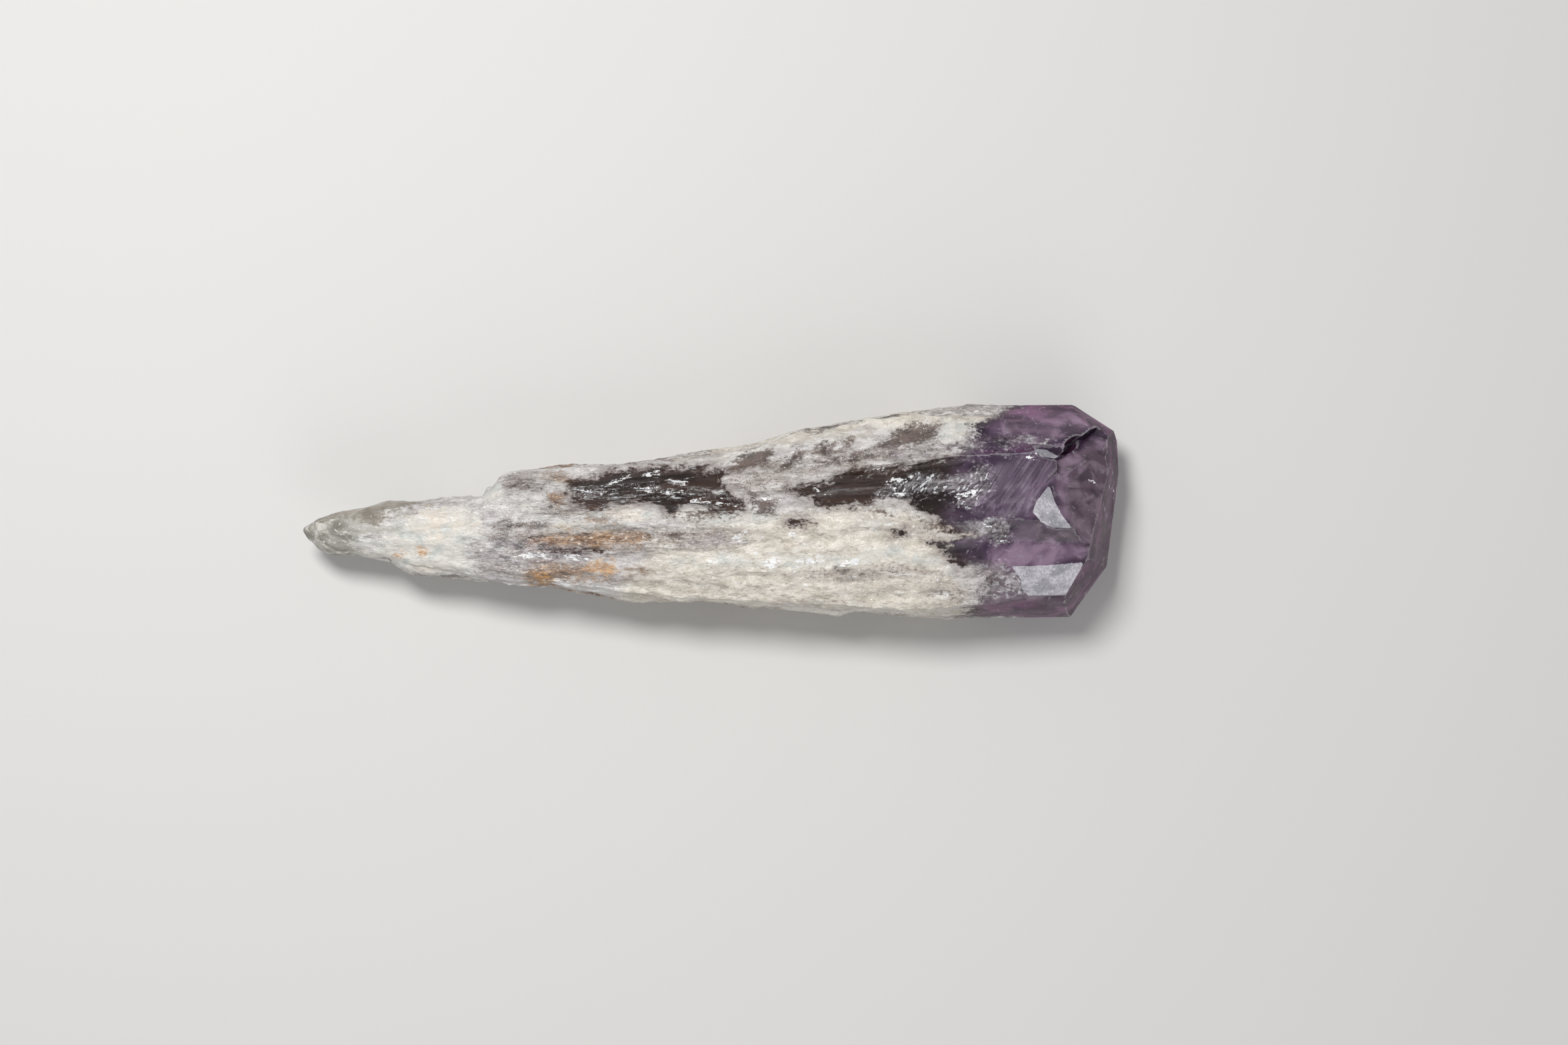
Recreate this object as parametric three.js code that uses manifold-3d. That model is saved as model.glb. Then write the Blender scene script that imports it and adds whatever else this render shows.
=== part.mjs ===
// A natural amethyst wand: one long quartz crystal that tapers from a broad faceted head to a thin tip.
// Units are millimetres, +Z is up, +X runs from the tip to the head, and the crystal lies on a flat natural
// face at Z = 0. The origin is under the middle of its length and width.
// The long body is lofted through its ridge lines, and the head's crystal faces are cut as planes.
import * as THREE from "three";
import { ImprovedNoise } from "three/addons/math/ImprovedNoise.js";
import { mergeVertices } from "three/addons/utils/BufferGeometryUtils.js";
import Module from "manifold-3d";

const wasm = await Module();
wasm.setup();

// Driving dimensions
const LENGTH = 100; // tip to head
const TIP_X = -LENGTH / 2;
const LOFT_END_X = 52; // the loft runs past the head, which the end faces then cut
const CUTTER_SIZE = 160; // a block that is larger than the crystal
const SEED_SHIFT = 11.3; // moves the noise pattern, so that its lattice doesn't fall on the origin

// Sections stand closer together where the outline steps: [from x, to x, spacing]
const RING_STRETCHES = [
  [TIP_X, -46, 0.8], [-46, -40, 1.2], [-40, -36, 0.8], [-36, -28.8, 1.2], [-28.8, -24.8, 0.5],
  [-24.8, 6, 1.45], [6, 10, 1.0], [10, 14, 1.3], [14, 17, 0.6], [17, LOFT_END_X, 1.75],
];

// Ridge lines, each a list of [x, y, z] points from the tip to the head. A rim is the outline from above.
const RIM_BACK = [
  [TIP_X, -2.05, 7.2], [-48, -1.0, 7.0], [-45.1, 0.1, 6.8], [-42.2, 0.6, 6.8], [-39.4, 1.5, 6.9],
  [-37.6, 1.3, 7.2], [-36.7, 1.0, 7.6], [-31.7, 1.5, 8.3], [-27.6, 1.8, 8.6], [-27.3, 2.9, 8.6],
  [-26.5, 3.1, 8.5], [-26.1, 4.0, 8.4], [-23.9, 4.8, 8.4], [-18.1, 5.7, 8.5], [-11.5, 5.7, 8.4],
  [-5.3, 6.7, 8.0], [4.7, 8.1, 7.8], [7.2, 8.8, 7.8], [8.8, 9.5, 7.8], [12.2, 10.3, 7.8],
  [17.4, 11.5, 7.8], [23.8, 12.3, 8.0], [30.2, 13.0, 8.0], [44, 13.1, 8.0], [LOFT_END_X, 12.9, 8.0],
];
const SHOULDER_BACK = [
  [TIP_X, -2.05, 7.55], [-47.8, -1.3, 8.9], [-44.2, -0.65, 9.9], [-40.6, 0.1, 10.7], [-37.6, 0.6, 11.2],
  [-34.3, 1.0, 11.5], [-27.6, 1.8, 12.0], [-25.5, 3.6, 11.8], [-22, 4.6, 11.9], [-15, 5.3, 12.0],
  [-10, 5.4, 12.0], [0, 6.6, 12.2], [5, 7.5, 12.3], [11, 9.2, 12.4], [23, 10.7, 12.8],
  [30, 11.2, 12.9], [35, 10.5, 13.4], [41, 10.3, 13.2], [LOFT_END_X, 9.6, 10.6],
];
const LEDGE_BACK = [
  [TIP_X, -2.1, 7.6], [-45, -1.1, 10.0], [-40, -0.4, 11.1], [-34, 0.2, 12.1], [-28, 0.9, 12.8],
  [-25.5, 2.7, 12.9], [-20, 3.9, 13.2], [-10, 4.6, 13.5], [0, 5.4, 13.9], [11, 7.4, 14.6],
  [20, 8.4, 15.0], [31, 8.3, 15.5], [41, 8.1, 15.4], [LOFT_END_X, 7.7, 12.4],
];
const BROW = [
  [TIP_X, -2.15, 7.65], [-45, -1.6, 10.1], [-40, -1.0, 11.4], [-34, -0.4, 12.7], [-28, 0.2, 13.6],
  [-25.5, 1.6, 14.0], [-20, 2.9, 14.4], [-10, 3.6, 15.0], [0, 4.3, 15.7], [12, 4.9, 16.5],
  [20, 5.6, 17.0], [30, 6.7, 17.1], [39.4, 7.2, 17.0], [LOFT_END_X, 7.2, 16.8],
];
const CREST = [
  [TIP_X, -2.25, 7.7], [-45, -2.8, 10.3], [-40, -2.6, 11.8], [-34, -2.2, 13.2], [-28, -1.6, 14.3],
  [-20, -0.9, 15.5], [-10, -0.8, 16.5], [0, -0.8, 17.3], [15, -0.9, 18.2], [25, -0.9, 18.7],
  [32, -0.8, 18.7], [41, -1.1, 18.5], [LOFT_END_X, -1.1, 18.5],
];
const FOLD_TOP = [
  [TIP_X, -2.3, 7.65], [-45, -3.3, 10.1], [-40, -3.4, 11.6], [-34, -3.4, 12.9], [-28, -3.3, 13.9],
  [-20, -3.0, 15.1], [-10, -3.1, 16.0], [0, -3.3, 16.9], [15, -3.4, 17.7], [25, -3.5, 18.1],
  [33, -3.5, 17.5], [44, -3.8, 17.1], [LOFT_END_X, -4.0, 17.0],
];
const FOLD_FRONT = [
  [TIP_X, -2.4, 7.65], [-46, -3.8, 9.4], [-40, -4.4, 11.0], [-34, -5.0, 12.2], [-28, -5.4, 13.2],
  [-20, -5.6, 14.4], [-10, -6.1, 15.2], [0, -6.4, 15.9], [15, -6.4, 16.9], [25, -6.5, 17.2],
  [36.5, -6.7, 17.0], [LOFT_END_X, -6.3, 16.8],
];
const SHOULDER_FRONT = [
  [TIP_X, -2.45, 7.55], [-46, -4.7, 8.6], [-42, -4.9, 9.6], [-38.6, -5.8, 10.3], [-34, -6.8, 11.1],
  [-28, -7.6, 11.9], [-20, -8.4, 12.9], [-10, -9.8, 13.4], [0, -10.6, 13.8], [15, -11.4, 14.4],
  [25, -11.9, 14.7], [34, -11.0, 15.3], [44, -10.2, 15.2], [LOFT_END_X, -10.1, 15.0],
];
const RIM_FRONT = [
  [TIP_X, -2.35, 7.1], [-49.2, -3.5, 6.8], [-48, -4.4, 6.7], [-47, -5.1, 6.6], [-45.9, -5.4, 6.6],
  [-42.9, -5.5, 6.7], [-39.3, -6.1, 6.9], [-38.3, -6.8, 7.0], [-37.3, -7.3, 7.1], [-34.3, -7.7, 7.3],
  [-28.5, -8.5, 7.5], [-21.4, -9.2, 7.6], [-16.4, -9.6, 7.6], [-9.8, -10.8, 7.6], [-8.1, -11.0, 7.6],
  [-7.4, -10.7, 7.6], [-3.3, -10.8, 7.6], [3.0, -11.7, 7.6], [7.1, -11.8, 7.6], [12.3, -12.2, 7.7],
  [15.2, -12.9, 7.7], [16.2, -12.2, 7.7], [23.2, -12.9, 7.8], [27.2, -13.1, 7.9], [43.3, -12.9, 8.0],
  [LOFT_END_X, -12.7, 8.0],
];
const BELLY_FRONT = [
  [TIP_X, -2.45, 6.9], [-46, -4.4, 5.2], [-40, -5.0, 4.6], [-34, -6.2, 4.2], [-28, -7.0, 3.6],
  [-20, -7.6, 3.0], [-10, -8.8, 2.6], [15, -10.6, 2.8], [25, -11.2, 3.0], [LOFT_END_X, -10.8, 3.4],
];
const KEEL_FRONT = [
  [TIP_X, -2.35, 6.75], [-46, -3.0, 4.4], [-40, -3.0, 3.2], [-34, -3.2, 2.3], [-28, -3.6, 1.4],
  [-20, -4.0, 0.5], [-13, -4.3, -0.5], [30, -5.8, -0.8], [43, -5.6, -0.7], [LOFT_END_X, -5.4, 0.4],
];
const KEEL_BACK = [
  [TIP_X, -2.15, 6.75], [-46, -1.6, 4.5], [-40, -0.8, 3.4], [-34, -0.2, 2.4], [-28, 0.4, 1.5],
  [-20, 1.0, 0.6], [-13, 1.6, -0.5], [15, 4.0, -0.8], [43, 5.0, -0.7], [LOFT_END_X, 4.8, 0.4],
];
const BELLY_BACK = [
  [TIP_X, -2.0, 6.95], [-46, -0.6, 5.3], [-40, 0.5, 5.0], [-34, 0.9, 4.8], [-28, 1.5, 4.4],
  [-25.5, 3.0, 4.2], [-20, 4.2, 3.8], [-10, 4.6, 3.4], [0, 6.0, 3.2], [15, 9.2, 3.2],
  [25, 10.6, 3.4], [LOFT_END_X, 11.0, 3.8],
];

// The faces round the section, in turn: each starts at its ridge, has that many columns and bows out by mm.
const FACES = [
  { ridge: RIM_BACK, columns: 5, bow: 0.25 },
  { ridge: SHOULDER_BACK, columns: 3, bow: 0.1 },
  { ridge: LEDGE_BACK, columns: 3, bow: 0.0 },
  { ridge: BROW, columns: 8, bow: -0.35 },
  { ridge: CREST, columns: 3, bow: 0.0 },
  { ridge: FOLD_TOP, columns: 3, bow: 0.1 },
  { ridge: FOLD_FRONT, columns: 6, bow: 0.25 },
  { ridge: SHOULDER_FRONT, columns: 6, bow: 0.2 },
  { ridge: RIM_FRONT, columns: 4, bow: 0.15 },
  { ridge: BELLY_FRONT, columns: 4, bow: 0.3 },
  { ridge: KEEL_FRONT, columns: 3, bow: 0.1 },
  { ridge: KEEL_BACK, columns: 4, bow: 0.3 },
  { ridge: BELLY_BACK, columns: 4, bow: 0.15 },
];
const TOP_FACES = 7; // the first faces are the ones seen from above

// Hollows in the upper side, each a bowl-shaped channel between two points in plan
const SCOOPS = [
  { name: "long window", from: [-18.5, 3.6], to: [1.5, 2.5], halfWidth: 2.7, depth: 1.1 },
  { name: "window tail", from: [2.5, 1.4], to: [8.0, 0.9], halfWidth: 1.3, depth: 0.6 },
  { name: "dark trough", from: [10.4, 2.0], to: [29, 4.0], halfWidth: 2.6, depth: 0.9 },
  { name: "rusty groove", from: [-22, -3.2], to: [-8, -3.0], halfWidth: 1.2, depth: 0.7 },
  { name: "tip scar", from: [-35, -0.2], to: [-31, -0.6], halfWidth: 2.1, depth: 0.9 },
  { name: "pale lens", from: [21, 9.0], to: [27, 9.7], halfWidth: 1.2, depth: 0.6 },
];

// Crystal faces that bound the head, each the plane through three points, which removes all beyond it
const HEAD_PLANES = {
  end_wall: [[49.75, 4.6, 8.0], [48.7, -3.5, 8.0], [46.3, 0.0, 15.2]],
  front_bevel: [[44.8, -5.7, 17.0], [42.5, -10.0, 15.2], [46.4, -9.3, 8.0]],
  back_corner: [[44.0, 13.1, 8.0], [49.2, 9.8, 8.0], [43.9, 11.1, 12.6]],
  back_wall: [[49.2, 9.5, 8.0], [49.75, 4.9, 8.0], [48.2, 7.9, 11.0]],
  under_end: [[49.55, 3.0, 7.6], [48.5, -5.0, 7.6], [44.5, 0.0, 0.6]],
  under_front: [[48.4, -6.3, 7.6], [44.0, -12.6, 7.6], [42.5, -7.5, 0.8]],
  under_back: [[49.2, 9.8, 7.6], [44.0, 13.2, 7.6], [42.5, 8.0, 0.8]],
};

// Smaller faces of the head, each cut straight down inside its outline to a plane, given at its first corner
const HEAD_CHIPS = [
  {
    name: "bright triangle",
    outline: [[38.2, 0.4], [39.1, -1.1], [40.7, -2.1], [43.1, -2.2], [43.1, -1.6], [41.4, 1.0], [40.3, 2.5]],
    height: 18.0,
    slope: [-0.15, -0.087],
  },
  {
    name: "main end face",
    outline: [[40.2, 4.1], [41.2, 0.8], [42.9, -2.0], [45.1, -4.8], [53, -9], [53, 9], [46, 8], [41.9, 5.9]],
    height: 17.1,
    slope: [-0.53, -0.29],
  },
  {
    name: "pink lens",
    outline: [[41.2, 3.9], [53, 8.4], [53, 12], [45.8, 10.0], [43.9, 8.7], [42.2, 7.4], [41.0, 6.3]],
    height: 16.6,
    slope: [-0.15, -0.9],
  },
  {
    name: "small bright face",
    outline: [[38.4, 7.7], [38.8, 6.7], [40.8, 6.1], [42.5, 6.6], [42.7, 8.4]],
    height: 15.9,
    slope: [-0.12, 0.1],
  },
];
const CHIP_TOP = 40; // the cut reaches up past the crystal

// Broken hollows: a ball, stretched to its radii and turned about Z
const HOLLOWS = [
  { at: [43.1, 8.0, 13.7], radii: [1.9, 0.8, 2.3], turn: 33 },
  { at: [48.8, 6.3, 12.3], radii: [1.2, 1.6, 1.2], turn: 0 },
  { at: [50.6, -0.3, 10.0], radii: [1.7, 1.8, 3.2], turn: 8 },
];
const HOLLOW_SEGMENTS = [16, 10];

// Relief of the natural skin: sizes in mm, and how far each pattern runs along and across the crystal
const RIBS = { height: 0.42, along: 15, across: 1.5 };
const LUMPS = { height: 0.26, along: 3.6, across: 2.4 };
const LEDGES = { height: 0.6, along: 19, across: 4.2, levels: 3 };
const RIDGE_RELIEF = 0.35; // how much of the relief is left at a ridge line, which stays crisp

const noise = new ImprovedNoise();
const { lerp, smoothstep, clamp, degToRad } = THREE.MathUtils;

// The point of a ridge line at x, as {y, z}
function ridgeAt(ridge, x) {
  const next = Math.max(1, ridge.findIndex(([px]) => px >= x));
  const [x0, y0, z0] = ridge[next - 1];
  const [x1, y1, z1] = ridge[next];
  const t = clamp((x - x0) / (x1 - x0), 0, 1);
  return { y: lerp(y0, y1, t), z: lerp(z0, z1, t) };
}

// A noise value from about -1 to 1 that is long along the crystal and narrow across it
function grain({ along, across }, x, y, z, shift) {
  return noise.noise(x / along + shift, y / across + SEED_SHIFT, z / across + shift);
}

// Steps from one level to the next over the last third of each level
function terrace(t) {
  const level = Math.floor(t);
  return level + smoothstep(t - level, 0.68, 1);
}

// How far the skin stands out from the lofted face at a point
function relief(x, y, z) {
  const tipFade = smoothstep(x, TIP_X, TIP_X + 6);
  const headFade = 1 - 0.85 * smoothstep(x, 31, 38);
  const ribs = RIBS.height * grain(RIBS, x, y, z, 0.4);
  const lumps = LUMPS.height * grain(LUMPS, x, y, z, 5.7);
  const level = LEDGES.levels * (0.5 + 0.5 * grain(LEDGES, x, y, z, 9.1));
  const ledges = LEDGES.height * (terrace(level) / LEDGES.levels - 0.5);
  return tipFade * headFade * (ribs + lumps + ledges);
}

// Depth of the scooped hollows at a point in plan
function scoopDepth(x, y) {
  let depth = 0;
  for (const scoop of SCOOPS) {
    const [ax, ay] = scoop.from;
    const [bx, by] = scoop.to;
    const lengthSquared = (bx - ax) ** 2 + (by - ay) ** 2;
    const t = clamp(((x - ax) * (bx - ax) + (y - ay) * (by - ay)) / lengthSquared, 0, 1);
    const away = Math.hypot(x - lerp(ax, bx, t), y - lerp(ay, by, t)) / scoop.halfWidth;
    depth += scoop.depth * Math.max(0, 1 - away * away);
  }
  return depth;
}

// One section of the crystal at x: points in the YZ plane, anticlockwise seen from the head
function sectionAt(x) {
  const points = [];
  FACES.forEach(({ ridge, columns, bow }, i) => {
    const start = ridgeAt(ridge, x);
    const end = ridgeAt(FACES[(i + 1) % FACES.length].ridge, x);
    const across = new THREE.Vector2(end.y - start.y, end.z - start.z);
    const outward = new THREE.Vector2(across.y, -across.x).normalize();
    const thin = Math.min(1, across.length() / 3);
    for (let k = 0; k < columns; k++) {
      const t = k / columns;
      const y = lerp(start.y, end.y, t);
      const z = lerp(start.z, end.z, t);
      const middle = 4 * t * (1 - t);
      const out = thin * (bow * middle + relief(x, y, z) * lerp(RIDGE_RELIEF, 1, middle));
      const scoop = i < TOP_FACES && i + k > 0 ? scoopDepth(x, y) : 0;
      points.push([y + outward.x * out, z + outward.y * out - scoop]);
    }
  });
  return points;
}

// Where the sections stand along the crystal
function ringPositions() {
  const rings = [];
  for (const [from, to, spacing] of RING_STRETCHES) {
    const steps = Math.round((to - from) / spacing);
    for (let i = 0; i < steps; i++) {
      rings.push(lerp(from, to, i / steps));
    }
  }
  rings.push(LOFT_END_X);
  return rings;
}

// The long body: sections joined ring by ring, with a fan at each end
function bodyGeometry() {
  const rings = ringPositions();
  const count = rings.length - 1;
  const sections = rings.map(sectionAt);
  const columns = sections[0].length;
  const positions = [];
  sections.forEach((section, i) => section.forEach(([y, z]) => positions.push(rings[i], y, z)));
  const indices = [];
  for (let i = 0; i < count; i++) {
    for (let k = 0; k < columns; k++) {
      const a = i * columns + k;
      const b = i * columns + ((k + 1) % columns);
      indices.push(a, b, a + columns, b, b + columns, a + columns);
    }
  }
  for (const [ring, flip] of [[0, false], [count, true]]) {
    const centre = positions.length / 3;
    const mean = (axis) => sections[ring].reduce((sum, p) => sum + p[axis], 0) / columns;
    positions.push(rings[ring], mean(0), mean(1));
    for (let k = 0; k < columns; k++) {
      const a = ring * columns + k;
      const b = ring * columns + ((k + 1) % columns);
      indices.push(centre, flip ? a : b, flip ? b : a);
    }
  }
  const geometry = new THREE.BufferGeometry();
  geometry.setAttribute("position", new THREE.Float32BufferAttribute(positions, 3));
  geometry.setIndex(indices);
  return geometry;
}

// A closed geometry as a solid that can be cut
function solidOf(geometry) {
  const plain = geometry.clone();
  plain.deleteAttribute("normal");
  plain.deleteAttribute("uv");
  const merged = mergeVertices(plain, 1e-4);
  return new wasm.Manifold(
    new wasm.Mesh({
      numProp: 3,
      vertProperties: new Float32Array(merged.attributes.position.array),
      triVerts: new Uint32Array(merged.index.array),
    }),
  );
}

// A large block whose underside is the plane through three points, on the side away from the crystal
function blockBeyond(points) {
  const [a, b, c] = points.map((p) => new THREE.Vector3(...p));
  const middle = new THREE.Vector3(0, 0, 8);
  const normal = new THREE.Vector3().crossVectors(b.clone().sub(a), c.clone().sub(a)).normalize();
  if (normal.dot(a.clone().sub(middle)) < 0) normal.negate();
  const block = new THREE.BoxGeometry(CUTTER_SIZE, CUTTER_SIZE, CUTTER_SIZE);
  block.translate(0, 0, CUTTER_SIZE / 2);
  block.applyQuaternion(new THREE.Quaternion().setFromUnitVectors(new THREE.Vector3(0, 0, 1), normal));
  block.translate(a.x, a.y, a.z);
  return block;
}

// A prism over an outline in plan, with a sloping underside
function chipGeometry({ outline, height, slope }) {
  const shape = new THREE.Shape(outline.map(([x, y]) => new THREE.Vector2(x, y)));
  const prism = new THREE.ExtrudeGeometry(shape, { depth: CHIP_TOP, bevelEnabled: false });
  const position = prism.attributes.position;
  const [x0, y0] = outline[0];
  for (let i = 0; i < position.count; i++) {
    if (position.getZ(i) > 0) continue;
    position.setZ(i, height + slope[0] * (position.getX(i) - x0) + slope[1] * (position.getY(i) - y0));
  }
  return prism;
}

function hollowGeometry({ at, radii, turn }) {
  const ball = new THREE.SphereGeometry(1, ...HOLLOW_SEGMENTS);
  ball.scale(...radii);
  ball.rotateZ(degToRad(turn));
  ball.translate(...at);
  return ball;
}

// The table that the crystal lies on, which leaves it a flat natural face to rest on
function blockBelow() {
  const block = new THREE.BoxGeometry(CUTTER_SIZE, CUTTER_SIZE, CUTTER_SIZE);
  block.translate(0, 0, -CUTTER_SIZE / 2);
  return block;
}

function wandGeometry() {
  const cutters = [
    ...Object.values(HEAD_PLANES).map(blockBeyond),
    ...HEAD_CHIPS.map(chipGeometry),
    ...HOLLOWS.map(hollowGeometry),
    blockBelow(),
  ];
  const solid = cutters.reduce((left, cutter) => left.subtract(solidOf(cutter)), solidOf(bodyGeometry()));
  const mesh = solid.getMesh();
  const geometry = new THREE.BufferGeometry();
  geometry.setAttribute("position", new THREE.BufferAttribute(mesh.vertProperties, 3));
  geometry.setIndex(new THREE.BufferAttribute(mesh.triVerts, 1));
  geometry.computeBoundingBox();
  const centre = geometry.boundingBox.getCenter(new THREE.Vector3());
  geometry.translate(-centre.x, -centre.y, 0);
  const faceted = geometry.toNonIndexed();
  faceted.computeVertexNormals();
  return faceted;
}

const quartz = new THREE.MeshStandardMaterial({ color: 0xc4bab2, roughness: 0.45, metalness: 0 });
const wand = new THREE.Mesh(wandGeometry(), quartz);
wand.name = "amethyst_crystal";

const group = new THREE.Group();
group.add(wand);
export default group;
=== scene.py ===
"""A natural amethyst wand on a pale table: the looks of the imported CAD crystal.

The crystal's solid is remeshed finely, gets its skin of splinters, crust and sunken glassy windows, and is
coloured by named places on it. Lengths here are millimetres until they reach Blender, which works in metres.
X runs from the tip to the head, Y across, Z up.
"""

import math
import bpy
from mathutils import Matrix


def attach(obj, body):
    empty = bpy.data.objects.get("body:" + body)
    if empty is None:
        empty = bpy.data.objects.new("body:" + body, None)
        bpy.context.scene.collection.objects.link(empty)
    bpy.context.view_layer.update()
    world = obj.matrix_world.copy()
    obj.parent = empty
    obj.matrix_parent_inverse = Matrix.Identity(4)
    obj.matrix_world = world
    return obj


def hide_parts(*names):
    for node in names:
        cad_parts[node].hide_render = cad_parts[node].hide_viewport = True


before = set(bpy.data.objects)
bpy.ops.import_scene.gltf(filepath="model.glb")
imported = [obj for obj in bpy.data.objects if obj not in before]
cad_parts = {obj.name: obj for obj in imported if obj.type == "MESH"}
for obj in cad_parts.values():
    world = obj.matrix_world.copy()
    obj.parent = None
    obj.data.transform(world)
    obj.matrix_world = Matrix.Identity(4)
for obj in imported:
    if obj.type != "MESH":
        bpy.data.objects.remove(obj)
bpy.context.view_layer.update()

from types import SimpleNamespace

import bpy
import numpy as np
from mathutils import Matrix, Vector, noise

MM = 0.001
NODE = "amethyst_crystal"

# The photograph's frame: 36 mm sensor, and the crystal's scale and place in it
PHOTO_PX = (2352, 1568)
PX_PER_MM = 12.3
CRYSTAL_CENTRE_PX = (1065.5, 768.0)
SENSOR_WIDTH = 36.0
LENS = 85.0
CAMERA_TILT = math.radians(3)  # leans back towards the tip
TILT_SHIFT_PX = 2  # brings both ends back to their places in the frame
RIM_HEIGHT = 8.0  # where the outline seen from above lies

# Fineness of the crystal's mesh, and the sharpest edge that is shaded smooth
MERGE_WITHIN = 0.001
REMESH_DEPTH = 9
REMESH_SCALE = 0.71
SMOOTH_BELOW = math.radians(35)

# The thin end is worn round from this X to the tip
WORN_FROM = -48.0
WEAR_ROUNDS = 24

# Heights and depths of the skin's relief
RIB_HEIGHT = 0.14
FLAKE_HEIGHT = 0.26
LUMP_HEIGHT = 0.20
GRAIN_HEIGHT = 0.12
WINDOW_DEPTH = 0.40
WINDOW_RELIEF = 0.10
SPARKLY_DEPTH = 0.15
SPARKLY_RELIEF = 0.22

# The growth lines fan out from a point beyond the tip, and are at their true spacing this far from it
FAN_POINT = (-68.6, -3.4, 7.5)
FAN_REACH = 80.0
FAN_SPREAD = 0.6  # 1 would spread them as straight rays
FAN_NEAR = 50.0  # they stop closing up nearer than this

# A marking fades where the skin turns away from the side that it is drawn on
TURNED_AWAY = 0.2  # the part of its normal that faces that side
TURNED_FADE = 12.0  # mm of depth lost as that part falls by 1
FAR_OUTSIDE = -20.0  # depth where there is no marking at all
EDGE_WANDER = 5.0  # how far the violet's edge strays on the unseen sides

# Natural quartz
QUARTZ_IOR = 1.544
QUARTZ_SPECULAR = 0.33
SEE_THROUGH = 0.6  # of the light, where the crystal is clearest
VIOLET_LIGHT = (0.42, 0.11, 0.49, 1.0)  # linear colour that passes through the crystal
VIOLET_DENSITY = 100.0  # absorption per metre

# The stage
TABLE_SIZE = 3.0  # metres
ROOM_STRENGTH = 0.38

# Sides that a marking is seen from: its two flat axes and the way that it faces
SIDES = {
    "top": ((0, 1), (0, 0, 1)),
    "under": ((0, 1), (0, 0, -1)),
    "front": ((0, 2), (0, -1, 0)),
    "back": ((0, 2), (0, 1, 0)),
}


def lens(x0, y0, x1, y1, half_width):
    """The outline of a thin streak between two points, which swells in the middle."""
    length = math.hypot(x1 - x0, y1 - y0)
    side = ((y0 - y1) / length * half_width, (x1 - x0) / length * half_width)
    at = {t: (x0 + t * (x1 - x0), y0 + t * (y1 - y0)) for t in (0, 0.25, 0.75, 1)}
    left = [(at[t][0] + side[0], at[t][1] + side[1]) for t in (0.25, 0.75)]
    right = [(at[t][0] - side[0], at[t][1] - side[1]) for t in (0.75, 0.25)]
    return [at[0], *left, at[1], *right]


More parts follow.
